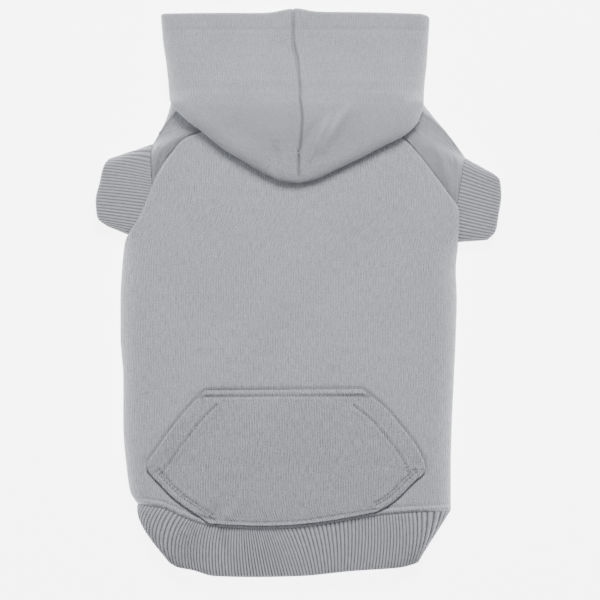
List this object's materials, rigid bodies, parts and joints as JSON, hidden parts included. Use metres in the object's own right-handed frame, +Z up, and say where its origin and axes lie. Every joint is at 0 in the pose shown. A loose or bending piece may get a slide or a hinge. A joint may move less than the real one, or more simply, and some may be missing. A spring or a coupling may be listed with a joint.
{
  "type": "dog hoodie",
  "caption": "Pullover fleece hoodie for a small dog, laid flat on its belly: hood, raglan sleeves, ribbed cuffs and hem band, pouch pocket on the back.",
  "frame": {"origin": "middle of the bounding box on the floor that the hoodie lies on", "axes": "+Y from the hem band to the hood's mouth, +X to the right of someone who looks down on the back, +Z up out of the floor"},
  "size_m": [0.2508, 0.3512, 0.0287],
  "materials": {
    "fleece_jersey": "heather grey brushed-back jersey knit, matt",
    "rib_knit": "heather grey one-by-one rib knit, matt"
  },
  "bodies": {
    "root": {"back_panel": "fleece_jersey", "belly_panel": "fleece_jersey", "sleeve_left": "fleece_jersey", "sleeve_right": "fleece_jersey", "hood_left": "fleece_jersey", "hood_right": "fleece_jersey", "pouch_pocket": "fleece_jersey", "cuff_left": "rib_knit", "cuff_right": "rib_knit", "waistband": "rib_knit"}
  },
  "joints": []
}
